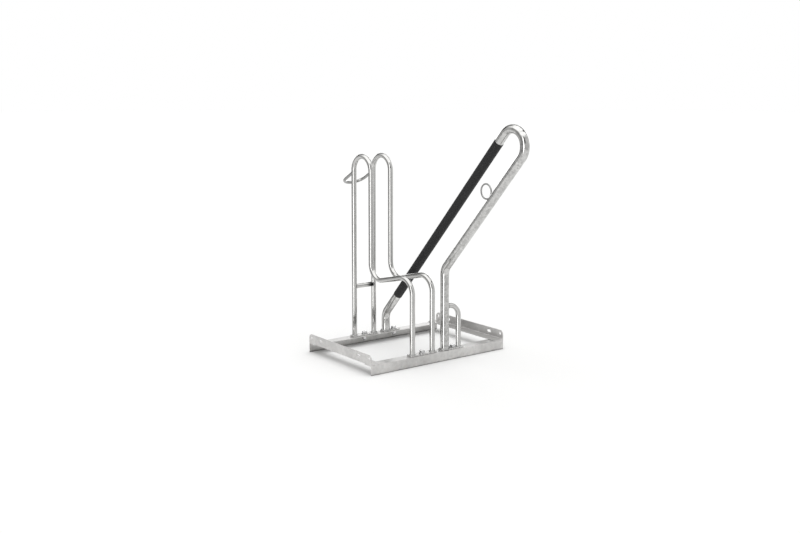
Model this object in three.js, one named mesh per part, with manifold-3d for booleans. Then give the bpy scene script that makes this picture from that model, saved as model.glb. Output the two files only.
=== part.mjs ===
// Floor-standing bicycle stand: a rectangular base frame of steel angles, a front-wheel
// holder of two bent tube hoops, and a slanted lean-on tube hoop with a protective sleeve.
// Units: millimetres. +Z is up, +X runs along the rails, -Y is the side that the bicycle comes from.
// Everything is laid out from the middle of the base frame at floor level, and the whole group is
// then moved so that its origin is the bottom centre of its bounding box.

import * as THREE from 'three';
import { mergeVertices } from 'three/addons/utils/BufferGeometryUtils.js';
import Module from 'manifold-3d';

const wasm = await Module();
wasm.setup();

// ---------------------------------------------------------------- driving dimensions
// base frame
const FRAME_LENGTH = 640;      // along X, outside to outside
const FRAME_DEPTH = 420;       // along Y, outside to outside
const ANGLE_HEIGHT = 37;       // upright leg of the steel angle
const ANGLE_WIDTH = 44;        // flat leg of the steel angle
const SHEET = 3;               // thickness of both legs
const HEEL = 0.9;              // crisp outer corner of the angle
const ROOT = 3.5;              // fillet between its legs
const BAR_CORNER = 18;         // rounded upper corners of the end bars
const SLOT_LENGTH = 22;        // row-joining slots of the end bars
const SLOT_WIDTH = 11;
const SLOT_FROM_END = 82;
const TIP_HOLE = 11;           // round row-joining holes at the bar tips
const TIP_HOLE_FROM_END = 16;
const JOIN_HOLE_Z = 21;        // height of slots and holes above the rail's top

// wheel holder
const WHEEL_TUBE = 20;         // outside diameter
const WHEEL_WALL = 2;
const HOOP_X = [-118.5, -24.5];
const LEG_FROM_EDGE = 20;      // leg axis behind the outside face of its rail
const FRONT_TOP_LEG_Y = 74;    // axis of the leg that comes down from the U-bend in front
const HOOP_TOP = 764.5;        // highest point of the tube's axis
const BEND_RADIUS = 58;        // axis radius of every bend of the hoops
const SADDLE_RISE = 0.2287;    // the low stretch rises towards the front by this slope
const SADDLE_Z_AT_0 = 294.8;   // its axis height at Y = 0
const STOP_BAR = 18;           // diameter of the low cross bar
const STOP_BAR_Z = 240.5;
const BOW_ROD = 12;            // diameter of the tie bow
const BOW_TOP_Z = 701.5;
const BOW_REACH = 95.5;        // how far the top of its half-round bend lies behind the rear legs
const BOW_DROP = 54;

// lean-on hoop
const LEAN_TUBE = 33.7;
const LEAN_WALL = 2.6;
const LEAN_X = 36;
const LEAN_SLOPE = 1.083;      // rise per unit towards the front
const LEAN_FRONT_Z0 = 142.7;   // axis height of the front slanted leg at Y = 0
const LEAN_REAR_Z0 = 316.9;    // the same for the rear slanted leg
const LEAN_BEND_Y = -559;      // centre of the top bend
const LEAN_FOOT_BEND = 59.1;   // axis radius of the two lower bends
const VENT = 8;                // vent hole diameter
const SLEEVE_OUT = 35.8;       // outside diameter of the protective sleeve
const SLEEVE_IN = 33.9;
const SLEEVE_LENGTH = 876;
const SLEEVE_START = 100;      // above the end of the lower bend
const EYELET_OUT = 60;         // outside diameter of the lock eyelet
const EYELET_ROD = 6;          // its round bar
const EYELET_Y = -421.6;
const EYELET_Z = 664.8;
const BRACE_X = 104;           // upright axis of the side brace
const BRACE_Z = 206;           // axis height where it meets the lean-on hoop
const BRACE_BEND = 45;

// feet and fasteners
const PLATE = 5;               // thickness of the foot plates
const PLATE_WIDTH = 30;
const PLATE_CORNER = 4;
const HOLDER_PLATE_X = [-133, -10];
const LEAN_PLATE_FRONT_X = [16, 122];
const LEAN_PLATE_REAR_X = [16, 97];
const HOLDER_BOLT_X = -71.5;
const LEAN_BOLT_X = 75;
const BOLT = 11.8;             // shank diameter of the bolts
const BOLT_HOLE = 13;
const BOLT_LENGTH = 30;        // under the head
const HEAD_AF = 19;            // across flats
const HEAD_HEIGHT = 7.5;
const NUT_HEIGHT = 10.4;
const WASHER_OUT = 24;
const WASHER_IN = 12.8;
const WASHER = 2.5;

const GAP = 0.3;               // between a welded end and what it is welded to
const TUBE_SIDES = 16;
const LEAN_SIDES = 20;

// ---------------------------------------------------------------- materials
const zinc = () => new THREE.MeshStandardMaterial({ color: 0xb4b6b5, roughness: 0.42, metalness: 0.85 });
const zincBolt = () => new THREE.MeshStandardMaterial({ color: 0xa4a6a8, roughness: 0.35, metalness: 0.9 });
const blackPlastic = () => new THREE.MeshStandardMaterial({ color: 0x1d1e20, roughness: 0.6, metalness: 0 });

// ---------------------------------------------------------------- helpers
function toSolid(geometry) {
  let g = geometry.clone();
  g.deleteAttribute('normal');
  g.deleteAttribute('uv');
  g = mergeVertices(g, 1e-4);
  return new wasm.Manifold(new wasm.Mesh({
    numProp: 3,
    vertProperties: new Float32Array(g.attributes.position.array),
    triVerts: new Uint32Array(g.index.array),
  }));
}

function toGeometry(solid) {
  const m = solid.getMesh();
  const xyz = new Float32Array(m.numVert * 3);
  for (let i = 0; i < m.numVert; i++) {
    for (let k = 0; k < 3; k++) xyz[3 * i + k] = m.vertProperties[m.numProp * i + k];
  }
  const g = new THREE.BufferGeometry();
  g.setAttribute('position', new THREE.BufferAttribute(xyz, 3));
  g.setIndex(Array.from(m.triVerts));
  g.computeVertexNormals();
  return g;
}

const cut = (geometry, ...tools) => toGeometry(tools.reduce((s, t) => s.subtract(toSolid(t)), toSolid(geometry)));

// A route through the YZ, XZ or any plane made of straight stretches and circular bends. Its
// stations lie only where the section is needed: at both ends and along each bend.
class Route extends THREE.Curve {
  constructor(stations) {
    super();
    this.stations = stations;
  }
  get steps() { return this.stations.length - 1; }
  at(u) { return this.stations[Math.round(u * this.steps)]; }
  getPoint(u, target = new THREE.Vector3()) { return target.copy(this.at(u).point); }
  getPointAt(u, target = new THREE.Vector3()) { return target.copy(this.at(u).point); }
  getTangentAt(u, target = new THREE.Vector3()) { return target.copy(this.at(u).tangent); }
  getSpacedPoints() { return this.stations.map((s) => s.point.clone()); }
}

// corners: points of the sharp-cornered centre line; radii: bend radius at each inner corner.
// degreesPerStep sets how finely the bends are divided.
function bentRoute(corners, radii, degreesPerStep = 13) {
  const P = corners.map((c) => new THREE.Vector3(...c));
  const stations = [{ point: P[0], tangent: P[1].clone().sub(P[0]).normalize() }];
  for (let i = 1; i < P.length - 1; i++) {
    const a = P[i].clone().sub(P[i - 1]).normalize();
    const b = P[i + 1].clone().sub(P[i]).normalize();
    const turn = a.angleTo(b);
    const r = radii[i - 1];
    const back = r * Math.tan(turn / 2);
    const start = P[i].clone().addScaledVector(a, -back);
    const side = b.clone().addScaledVector(a, -a.dot(b)).normalize();
    const centre = start.clone().addScaledVector(side, r);
    const n = Math.max(2, Math.ceil(THREE.MathUtils.radToDeg(turn) / degreesPerStep));
    for (let k = 0; k <= n; k++) {
      const t = (turn * k) / n;
      stations.push({
        point: centre.clone().addScaledVector(side, -r * Math.cos(t)).addScaledVector(a, r * Math.sin(t)),
        tangent: a.clone().multiplyScalar(Math.cos(t)).addScaledVector(side, Math.sin(t)),
      });
    }
  }
  const n = P.length;
  stations.push({ point: P[n - 1], tangent: P[n - 1].clone().sub(P[n - 2]).normalize() });
  // two bends that meet without a straight stretch between them share a station
  const kept = stations.filter((s, i) => i === 0 || s.point.distanceTo(stations[i - 1].point) > 0.01);
  return new Route(kept);
}

function ring(sides, outer, inner) {
  const polygon = (radius) => {
    const points = [];
    for (let i = 0; i < sides; i++) {
      const a = (2 * Math.PI * i) / sides;
      points.push(new THREE.Vector2(radius * Math.cos(a), radius * Math.sin(a)));
    }
    return points;
  };
  const shape = new THREE.Shape(polygon(outer));
  if (inner) shape.holes.push(new THREE.Path(polygon(inner)));
  return shape;
}

function sweep(shape, route) {
  return new THREE.ExtrudeGeometry(shape, { steps: route.steps, extrudePath: route, curveSegments: 1, bevelEnabled: false });
}

const tube = (outside, wall, sides, route) => sweep(ring(sides, outside / 2, wall ? outside / 2 - wall : 0), route);

function rod(radius, from, to, sides = 20) {
  const a = new THREE.Vector3(...from), b = new THREE.Vector3(...to);
  const g = new THREE.CylinderGeometry(radius, radius, a.distanceTo(b), sides, 1);
  const q = new THREE.Quaternion().setFromUnitVectors(new THREE.Vector3(0, 1, 0), b.clone().sub(a).normalize());
  g.applyQuaternion(q);
  const m = a.clone().add(b).multiplyScalar(0.5);
  g.translate(m.x, m.y, m.z);
  return g;
}

function mesh(name, geometry, material) {
  const m = new THREE.Mesh(geometry, material);
  m.name = name;
  return m;
}

// ---------------------------------------------------------------- base frame
// Section of the angle: (0,0) is the outside lower edge of the upright leg, s runs inwards and z
// upwards. flatOnTop puts the flat leg at the upper end, otherwise at the lower end.
function angleSection(flatOnTop) {
  const w = ANGLE_WIDTH, h = ANGLE_HEIGHT, t = SHEET, ri = ROOT, ro = HEEL;
  const pts = [];
  const arc = (cx, cy, r, a0, a1, n) => {
    for (let i = 0; i <= n; i++) {
      const a = a0 + ((a1 - a0) * i) / n;
      pts.push([cx + r * Math.cos(a), cy + r * Math.sin(a)]);
    }
  };
  pts.push([0, 0], [t, 0]);
  arc(t + ri, h - t - ri, ri, Math.PI, Math.PI / 2, 3);
  pts.push([w, h - t], [w, h]);
  arc(ro, h - ro, ro, Math.PI / 2, Math.PI, 2);
  const flipped = flatOnTop ? pts : pts.map(([s, z]) => [s, h - z]).reverse();
  return new THREE.Shape(flipped.map(([s, z]) => new THREE.Vector2(s, z)));
}

function extruded(shape, length) {
  return new THREE.ExtrudeGeometry(shape, { depth: length, steps: 1, bevelEnabled: false, curveSegments: 10 });
}

// section coordinates (s, z) and the extrusion direction, mapped onto X, Y, Z
function placed(geometry, sAxis, zAxis, lengthAxis, origin) {
  const m = new THREE.Matrix4().makeBasis(new THREE.Vector3(...sAxis), new THREE.Vector3(...zAxis), new THREE.Vector3(...lengthAxis));
  m.setPosition(...origin);
  geometry.applyMatrix4(m);
  if (m.determinant() < 0) {
    const g = geometry.index ? geometry.toNonIndexed() : geometry;
    const p = g.attributes.position;
    for (let i = 0; i < p.count; i += 3) {
      const a = [p.getX(i + 1), p.getY(i + 1), p.getZ(i + 1)];
      p.setXYZ(i + 1, p.getX(i + 2), p.getY(i + 2), p.getZ(i + 2));
      p.setXYZ(i + 2, ...a);
    }
    g.computeVertexNormals();
    return g;
  }
  return geometry;
}

const X0 = -FRAME_LENGTH / 2, X1 = FRAME_LENGTH / 2;
const Y0 = -FRAME_DEPTH / 2, Y1 = FRAME_DEPTH / 2;
const FRONT_LEG_Y = Y0 + LEG_FROM_EDGE;
const REAR_LEG_Y = Y1 - LEG_FROM_EDGE;
const RAIL_TOP = ANGLE_HEIGHT;
const LEG_FOOT_Z = RAIL_TOP + PLATE;
const BOLT_INSET = LEG_FROM_EDGE + 1.5;

function rail(front) {
  const bar = front
    ? placed(extruded(angleSection(true), FRAME_LENGTH), [0, 1, 0], [0, 0, 1], [1, 0, 0], [X0, Y0, 0])
    : placed(extruded(angleSection(true), FRAME_LENGTH), [0, -1, 0], [0, 0, 1], [1, 0, 0], [X0, Y1, 0]);
  const y = front ? Y0 + BOLT_INSET : Y1 - BOLT_INSET;
  return cut(bar,
    rod(BOLT_HOLE / 2, [HOLDER_BOLT_X, y, RAIL_TOP - 20], [HOLDER_BOLT_X, y, RAIL_TOP + 20], 16),
    rod(BOLT_HOLE / 2, [LEAN_BOLT_X, y, RAIL_TOP - 20], [LEAN_BOLT_X, y, RAIL_TOP + 20], 16));
}

function endBar(left) {
  const inward = left ? 1 : -1;
  const bar = placed(extruded(angleSection(false), FRAME_DEPTH), [inward, 0, 0], [0, 0, 1], [0, 1, 0],
    [left ? X0 : X1, Y0, RAIL_TOP + 0.1]);
  // side outline with its rounded upper corners, slots and holes, cut through the upright leg
  const r = BAR_CORNER, h = ANGLE_HEIGHT, z0 = RAIL_TOP + 0.1;
  const outline = new THREE.Shape();
  outline.moveTo(Y0 - 1, z0 - 1);
  outline.lineTo(Y1 + 1, z0 - 1);
  outline.lineTo(Y1 + 1, z0 + SHEET + 6);
  outline.lineTo(Y1, z0 + SHEET + 6);
  outline.lineTo(Y1, z0 + h - r);
  outline.absarc(Y1 - r, z0 + h - r, r, 0, Math.PI / 2, false);
  outline.lineTo(Y0 + r, z0 + h);
  outline.absarc(Y0 + r, z0 + h - r, r, Math.PI / 2, Math.PI, false);
  outline.lineTo(Y0, z0 + SHEET + 6);
  outline.lineTo(Y0 - 1, z0 + SHEET + 6);
  const zc = z0 + JOIN_HOLE_Z;
  for (const y of [Y0 + SLOT_FROM_END, Y1 - SLOT_FROM_END]) {
    const half = SLOT_LENGTH / 2 - SLOT_WIDTH / 2;
    const slot = new THREE.Path();
    slot.absarc(y + half, zc, SLOT_WIDTH / 2, -Math.PI / 2, Math.PI / 2, false);
    slot.absarc(y - half, zc, SLOT_WIDTH / 2, Math.PI / 2, (3 * Math.PI) / 2, false);
    slot.closePath();
    outline.holes.push(slot);
  }
  for (const y of [Y0 + TIP_HOLE_FROM_END, Y1 - TIP_HOLE_FROM_END]) {
    const hole = new THREE.Path();
    hole.absarc(y, zc + 2, TIP_HOLE / 2, 0, 2 * Math.PI, false);
    outline.holes.push(hole);
  }
  const stencil = placed(new THREE.ExtrudeGeometry(outline, { depth: ANGLE_WIDTH + 20, steps: 1, bevelEnabled: false, curveSegments: 7 }),
    [0, 1, 0], [0, 0, 1], [1, 0, 0], [(left ? X0 : X1 - ANGLE_WIDTH) - 10, 0, 0]);
  return toGeometry(toSolid(bar).intersect(toSolid(stencil)));
}

const baseFrame = new THREE.Group();
baseFrame.add(
  mesh('front_rail', rail(true), zinc()),
  mesh('rear_rail', rail(false), zinc()),
  mesh('left_end_bar', endBar(true), zinc()),
  mesh('right_end_bar', endBar(false), zinc()),
);

// ---------------------------------------------------------------- wheel holder
const saddleZ = (y) => SADDLE_Z_AT_0 - SADDLE_RISE * y;
const legSpan = REAR_LEG_Y - FRONT_TOP_LEG_Y;
const topRadius = legSpan / 2;
const cornerTop = HOOP_TOP;

function wheelHoop(x) {
  return tube(WHEEL_TUBE, WHEEL_WALL, TUBE_SIDES, bentRoute([
    [x, REAR_LEG_Y, LEG_FOOT_Z + GAP],
    [x, REAR_LEG_Y, cornerTop],
    [x, FRONT_TOP_LEG_Y, cornerTop],
    [x, FRONT_TOP_LEG_Y, saddleZ(FRONT_TOP_LEG_Y)],
    [x, FRONT_LEG_Y, saddleZ(FRONT_LEG_Y)],
    [x, FRONT_LEG_Y, LEG_FOOT_Z + GAP],
  ], [topRadius, topRadius, BEND_RADIUS, BEND_RADIUS], 14));
}

// a foot plate: flat strip with rounded corners and one bolt hole
function footPlate([xa, xb], yc, boltX, boltY) {
  const shape = new THREE.Shape();
  const r = PLATE_CORNER, ya = yc - PLATE_WIDTH / 2, yb = yc + PLATE_WIDTH / 2;
  shape.moveTo(xa + r, ya);
  shape.lineTo(xb - r, ya);
  shape.absarc(xb - r, ya + r, r, -Math.PI / 2, 0, false);
  shape.absarc(xb - r, yb - r, r, 0, Math.PI / 2, false);
  shape.absarc(xa + r, yb - r, r, Math.PI / 2, Math.PI, false);
  shape.absarc(xa + r, ya + r, r, Math.PI, 1.5 * Math.PI, false);
  const hole = new THREE.Path();
  hole.absarc(boltX, boltY, BOLT_HOLE / 2, 0, 2 * Math.PI, false);
  shape.holes.push(hole);
  const g = new THREE.ExtrudeGeometry(shape, { depth: PLATE - 0.2, steps: 1, bevelEnabled: false, curveSegments: 4 });
  g.translate(0, 0, RAIL_TOP + 0.1);
  return g;
}

const stopBar = cut(
  tube(STOP_BAR, 2, TUBE_SIDES, bentRoute([[HOOP_X[0], REAR_LEG_Y, STOP_BAR_Z], [HOOP_X[1], REAR_LEG_Y, STOP_BAR_Z]], [])),
  rod(WHEEL_TUBE / 2 + GAP, [HOOP_X[0], REAR_LEG_Y, STOP_BAR_Z - 40], [HOOP_X[0], REAR_LEG_Y, STOP_BAR_Z + 40], 24),
  rod(WHEEL_TUBE / 2 + GAP, [HOOP_X[1], REAR_LEG_Y, STOP_BAR_Z - 40], [HOOP_X[1], REAR_LEG_Y, STOP_BAR_Z + 40], 24),
  boxAround(HOOP_X[0] - 20, HOOP_X[0]), boxAround(HOOP_X[1], HOOP_X[1] + 20));

// clears what the coping would leave on the far side of a leg
function boxAround(xa, xb) {
  const g = new THREE.BoxGeometry(xb - xa, 60, 60);
  g.translate((xa + xb) / 2, REAR_LEG_Y, STOP_BAR_Z);
  return g;
}

function tieBow() {
  const backY = REAR_LEG_Y + BOW_REACH, backZ = BOW_TOP_Z - BOW_DROP;
  const bendRadius = (HOOP_X[1] - HOOP_X[0]) / 2;
  const bar = tube(BOW_ROD, 0, 12, bentRoute([
    [HOOP_X[0], REAR_LEG_Y, BOW_TOP_Z],
    [HOOP_X[0], backY, backZ],
    [HOOP_X[1], backY, backZ],
    [HOOP_X[1], REAR_LEG_Y, BOW_TOP_Z],
  ], [bendRadius - 0.001, bendRadius - 0.001], 15));
  const clear = (x) => rod(WHEEL_TUBE / 2 + GAP, [x, REAR_LEG_Y, BOW_TOP_Z - 50], [x, REAR_LEG_Y, BOW_TOP_Z + 50], 24);
  const front = new THREE.BoxGeometry(200, 40, 100);
  front.translate((HOOP_X[0] + HOOP_X[1]) / 2, REAR_LEG_Y - 20, BOW_TOP_Z);
  return cut(bar, clear(HOOP_X[0]), clear(HOOP_X[1]), front);
}

const wheelHolder = new THREE.Group();
wheelHolder.add(
  mesh('wheel_hoop_left', wheelHoop(HOOP_X[0]), zinc()),
  mesh('wheel_hoop_right', wheelHoop(HOOP_X[1]), zinc()),
  mesh('wheel_stop_bar', stopBar, zinc()),
  mesh('tie_bow', tieBow(), zinc()),
  mesh('holder_foot_plate_front', footPlate(HOLDER_PLATE_X, Y0 + BOLT_INSET, HOLDER_BOLT_X, Y0 + BOLT_INSET), zinc()),
  mesh('holder_foot_plate_rear', footPlate(HOLDER_PLATE_X, Y1 - BOLT_INSET, HOLDER_BOLT_X, Y1 - BOLT_INSET), zinc()),
);

// ---------------------------------------------------------------- lean-on hoop
const leanDir = new THREE.Vector2(-1, LEAN_SLOPE).normalize();            // up along both slanted legs (y, z)
const leanSide = new THREE.Vector2(LEAN_SLOPE, 1).normalize();            // from the front leg to the rear leg
const legDistance = (LEAN_REAR_Z0 - LEAN_FRONT_Z0) / Math.sqrt(1 + LEAN_SLOPE ** 2);
const leanTopRadius = legDistance / 2;
const midZ0 = (LEAN_REAR_Z0 + LEAN_FRONT_Z0) / 2;
const bendCentre = new THREE.Vector2(LEAN_BEND_Y, midZ0 - LEAN_SLOPE * LEAN_BEND_Y);
const topCorner = (sign) => bendCentre.clone().addScaledVector(leanSide, sign * leanTopRadius).addScaledVector(leanDir, leanTopRadius);

function leanHoop() {
  const rearTop = topCorner(1), frontTop = topCorner(-1);
  const pipe = tube(LEAN_TUBE, LEAN_WALL, LEAN_SIDES, bentRoute([
    [LEAN_X, REAR_LEG_Y, LEG_FOOT_Z + GAP],
    [LEAN_X, REAR_LEG_Y, LEAN_REAR_Z0 - LEAN_SLOPE * REAR_LEG_Y],
    [LEAN_X, rearTop.x, rearTop.y],
    [LEAN_X, frontTop.x, frontTop.y],
    [LEAN_X, FRONT_LEG_Y, LEAN_FRONT_Z0 - LEAN_SLOPE * FRONT_LEG_Y],
    [LEAN_X, FRONT_LEG_Y, LEG_FOOT_Z + GAP],
  ], [LEAN_FOOT_BEND, leanTopRadius - 0.001, leanTopRadius - 0.001, LEAN_FOOT_BEND], 12));
  // vent hole in the outside of the top bend
  const a = THREE.MathUtils.degToRad(134);
  const out = new THREE.Vector2(Math.cos(a), Math.sin(a));
  const from = bendCentre.clone().addScaledVector(out, leanTopRadius + 4);
  const to = bendCentre.clone().addScaledVector(out, leanTopRadius + 40);
  return cut(pipe, rod(VENT / 2, [LEAN_X, from.x, from.y], [LEAN_X, to.x, to.y], 12));
}

// protective sleeve: closed profile turned round the slanted leg's axis, with rounded ends
function sleeve() {
  const ri = SLEEVE_IN / 2, ro = SLEEVE_OUT / 2, L = SLEEVE_LENGTH, c = 0.45;
  const profile = [[ri, 0], [ro - c, 0], [ro, c], [ro, L - c], [ro - c, L], [ri, L], [ri, 0]]
    .map(([r, y]) => new THREE.Vector2(r, y));
  const g = new THREE.LatheGeometry(profile, 36);
  const bendEnd = LEAN_FOOT_BEND * Math.tan(Math.atan(1 / LEAN_SLOPE) / 2);
  const start = new THREE.Vector2(REAR_LEG_Y, LEAN_REAR_Z0 - LEAN_SLOPE * REAR_LEG_Y).addScaledVector(leanDir, bendEnd + SLEEVE_START);
  const m = mesh('protective_sleeve', g, blackPlastic());
  m.position.set(LEAN_X, start.x, start.y);
  m.quaternion.setFromUnitVectors(new THREE.Vector3(0, 1, 0), new THREE.Vector3(0, leanDir.x, leanDir.y));
  return m;
}

function lockEyelet() {
  const n = 28, R = (EYELET_OUT - EYELET_ROD) / 2;
  const g = new THREE.TorusGeometry(R, EYELET_ROD / 2, 10, n);
  g.rotateY(Math.PI / 2);
  g.translate(LEAN_X, EYELET_Y, EYELET_Z);
  // coped to the leg that it is welded to
  const foot = [LEAN_X, EYELET_Y + 120, LEAN_FRONT_Z0 - LEAN_SLOPE * (EYELET_Y + 120)];
  const head = [LEAN_X, EYELET_Y - 120, LEAN_FRONT_Z0 - LEAN_SLOPE * (EYELET_Y - 120)];
  return cut(g, rod(LEAN_TUBE / 2 + GAP, foot, head, 32));
}

function sideBrace() {
  const bar = tube(WHEEL_TUBE, WHEEL_WALL, TUBE_SIDES, bentRoute([
    [LEAN_X, FRONT_LEG_Y, BRACE_Z],
    [BRACE_X, FRONT_LEG_Y, BRACE_Z],
    [BRACE_X, FRONT_LEG_Y, LEG_FOOT_Z + GAP],
  ], [BRACE_BEND], 13));
  const leg = rod(LEAN_TUBE / 2 + GAP, [LEAN_X, FRONT_LEG_Y, BRACE_Z - 60], [LEAN_X, FRONT_LEG_Y, BRACE_Z + 60], 32);
  return cut(bar, leg);
}

const leanOnHoop = new THREE.Group();
leanOnHoop.add(
  mesh('lean_hoop', leanHoop(), zinc()),
  sleeve(),
  mesh('lock_eyelet', lockEyelet(), zinc()),
  mesh('side_brace', sideBrace(), zinc()),
  mesh('lean_foot_plate_front', footPlate(LEAN_PLATE_FRONT_X, Y0 + BOLT_INSET, LEAN_BOLT_X, Y0 + BOLT_INSET), zinc()),
  mesh('lean_foot_plate_rear', footPlate(LEAN_PLATE_REAR_X, Y1 - BOLT_INSET, LEAN_BOLT_X, Y1 - BOLT_INSET), zinc()),
);

// ---------------------------------------------------------------- fasteners
function hexagon(acrossFlats, hole = 0, sides = 16) {
  const shape = new THREE.Shape();
  for (let i = 0; i < 6; i++) {
    const a = Math.PI / 6 + (i * Math.PI) / 3, r = acrossFlats / Math.sqrt(3);
    if (i) shape.lineTo(r * Math.cos(a), r * Math.sin(a));
    else shape.moveTo(r * Math.cos(a), r * Math.sin(a));
  }
  shape.closePath();
  if (hole) {
    const path = new THREE.Path();
    path.absarc(0, 0, hole / 2, 0, 2 * Math.PI, false);
    shape.holes.push(path);
  }
  return shape;
}

// origin at the underside of the head; the shank points down
function bolt() {
  const head = new THREE.ExtrudeGeometry(hexagon(HEAD_AF), { depth: HEAD_HEIGHT, steps: 1, bevelEnabled: false });
  const shank = rod(BOLT / 2, [0, 0, -BOLT_LENGTH], [0, 0, 1], 16);
  return toGeometry(toSolid(head).add(toSolid(shank)));
}

function washer() {
  return new THREE.ExtrudeGeometry(ring(16, WASHER_OUT / 2, WASHER_IN / 2), { depth: WASHER - 0.1, steps: 1, bevelEnabled: false });
}

function nut() {
  return new THREE.ExtrudeGeometry(hexagon(HEAD_AF, BOLT + 0.4), { depth: NUT_HEIGHT - 0.1, steps: 1, bevelEnabled: false, curveSegments: 8 });
}

const fasteners = new THREE.Group();
const joints = [
  ['holder_front', HOLDER_BOLT_X, Y0 + BOLT_INSET, 0.2],
  ['holder_rear', HOLDER_BOLT_X, Y1 - BOLT_INSET, 0.9],
  ['lean_front', LEAN_BOLT_X, Y0 + BOLT_INSET, 0.5],
  ['lean_rear', LEAN_BOLT_X, Y1 - BOLT_INSET, 1.3],
];
for (const [name, x, y, turn] of joints) {
  const plateTop = RAIL_TOP + PLATE;
  const under = RAIL_TOP - SHEET;
  const pieces = [
    [mesh(`bolt_${name}`, bolt(), zincBolt()), plateTop + WASHER, turn],
    [mesh(`head_washer_${name}`, washer(), zincBolt()), plateTop - 0.05, 0],
    [mesh(`nut_washer_${name}`, washer(), zincBolt()), under - WASHER, 0],
    [mesh(`nut_${name}`, nut(), zincBolt()), under - WASHER - NUT_HEIGHT, turn + 0.3],
  ];
  for (const [piece, z, spin] of pieces) {
    piece.position.set(x, y, z);
    piece.rotation.z = spin;
    fasteners.add(piece);
  }
}

// ---------------------------------------------------------------- the whole stand
const stand = new THREE.Group();
const layout = new THREE.Group();
layout.add(baseFrame, wheelHolder, leanOnHoop, fasteners);
stand.add(layout);
stand.updateMatrixWorld(true);
const box = new THREE.Box3().setFromObject(layout, true);
const middle = box.getCenter(new THREE.Vector3());
layout.position.set(-middle.x, -middle.y, -box.min.z);
stand.updateMatrixWorld(true);

export default stand;
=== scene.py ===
import math
import bpy
import bmesh
from mathutils import Vector, Matrix, noise


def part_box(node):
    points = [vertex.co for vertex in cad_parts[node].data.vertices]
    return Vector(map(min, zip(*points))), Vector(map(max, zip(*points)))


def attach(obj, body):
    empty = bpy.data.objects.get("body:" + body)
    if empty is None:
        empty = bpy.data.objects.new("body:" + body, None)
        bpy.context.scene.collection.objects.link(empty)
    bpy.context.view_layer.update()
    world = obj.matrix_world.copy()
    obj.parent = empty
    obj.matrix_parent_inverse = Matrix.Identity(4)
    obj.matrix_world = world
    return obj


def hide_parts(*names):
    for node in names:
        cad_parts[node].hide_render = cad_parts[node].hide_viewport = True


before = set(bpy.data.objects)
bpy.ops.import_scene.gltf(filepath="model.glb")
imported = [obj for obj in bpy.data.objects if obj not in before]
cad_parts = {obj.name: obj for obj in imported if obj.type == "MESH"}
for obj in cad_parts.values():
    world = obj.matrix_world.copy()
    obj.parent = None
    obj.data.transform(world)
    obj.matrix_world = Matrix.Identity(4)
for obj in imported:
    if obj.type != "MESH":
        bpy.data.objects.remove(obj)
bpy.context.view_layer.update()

# ------------------------------------------------------------------ measures, in millimetres
# Y runs from the middle of the base frame here; OFFSET_Y brings it into the row frame.
MM = 0.001
OFFSET_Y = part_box("front_rail")[0].y / MM + 210.0

FRAME_L, FRAME_D = 640.0, 420.0
ANGLE_H, ANGLE_W, SHEET = 37.0, 44.0, 3.0
CORNER_R, ROOT_R, TOE_R = 0.9, 3.5, 1.2
BAR_CORNER = 18.0
SLOT_L, SLOT_W, SLOT_END = 22.0, 11.0, 82.0
TIP_HOLE, TIP_END, JOIN_Z = 11.0, 16.0, 21.0
TUBE_R, TUBE_WALL = 10.0, 2.0
HOOP_X = (-118.5, -24.5)
LEG_IN = 20.0
FRONT_TOP_Y, HOOP_TOP, HOOP_BEND = 74.0, 764.5, 58.0
SADDLE_RISE, SADDLE_Z0 = 0.2287, 294.8
STOP_R, STOP_Z = 9.0, 240.5
BOW_R, BOW_Z, BOW_REACH, BOW_DROP = 6.0, 701.5, 95.5, 54.0
LEAN_R, LEAN_WALL, LEAN_X = 16.85, 2.6, 36.0
LEAN_SLOPE, LEAN_FRONT_Z0, LEAN_REAR_Z0 = 1.083, 142.7, 316.9
LEAN_BEND_Y, LEAN_FOOT_BEND = -559.0, 59.1
VENT_R = 4.0
SLEEVE_R, SLEEVE_IN, SLEEVE_L, SLEEVE_START = 17.9, 16.95, 876.0, 100.0
EYE_OUT, EYE_ROD, EYE_Y, EYE_Z = 60.0, 6.0, -421.6, 664.8
BRACE_X, BRACE_Z, BRACE_BEND = 104.0, 206.0, 45.0
PLATE_W, PLATE_CORNER = 30.0, 4.0
PLATE_LO, PLATE_HI = 37.1, 41.9
HOLDER_PLATE, LEAN_PLATE_F, LEAN_PLATE_R = (-133.0, -10.0), (16.0, 122.0), (16.0, 97.0)
HOLDER_BOLT_X, LEAN_BOLT_X = -71.5, 75.0
BOLT_R, BOLT_HOLE_R = 5.9, 6.5
HEAD_AF, HEAD_H, NUT_H = 19.0, 7.5, 10.3
WASHER_OUT, WASHER_IN, WASHER_T = 12.0, 6.4, 2.4

Y0, Y1 = -FRAME_D / 2, FRAME_D / 2
X0, X1 = -FRAME_L / 2, FRAME_L / 2
FRONT_Y, REAR_Y = Y0 + LEG_IN, Y1 - LEG_IN
BOLT_IN = LEG_IN + 1.5
FOOT_Z = 42.3
RAIL_TOP = ANGLE_H


def place(p):
    """A point of the layout, in metres in the row frame."""
    return Vector((p[0] * MM, (p[1] + OFFSET_Y) * MM, p[2] * MM))


# ------------------------------------------------------------------ camera
cam_data = bpy.data.cameras.new("camera")
cam = bpy.data.objects.new("camera", cam_data)
bpy.context.scene.collection.objects.link(cam)
bpy.context.scene.camera = cam
cam_data.sensor_fit = "HORIZONTAL"
cam_data.sensor_width = 36.0
cam_data.lens = 47.398
cam_data.shift_y = -0.10
cam_data.clip_start, cam_data.clip_end = 0.05, 200.0
cam.location = (-2.4623, -3.0630, 1.0726)
cam.rotation_euler = (math.radians(90 - 5.935), 0.0, math.radians(-36.901))


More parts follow.
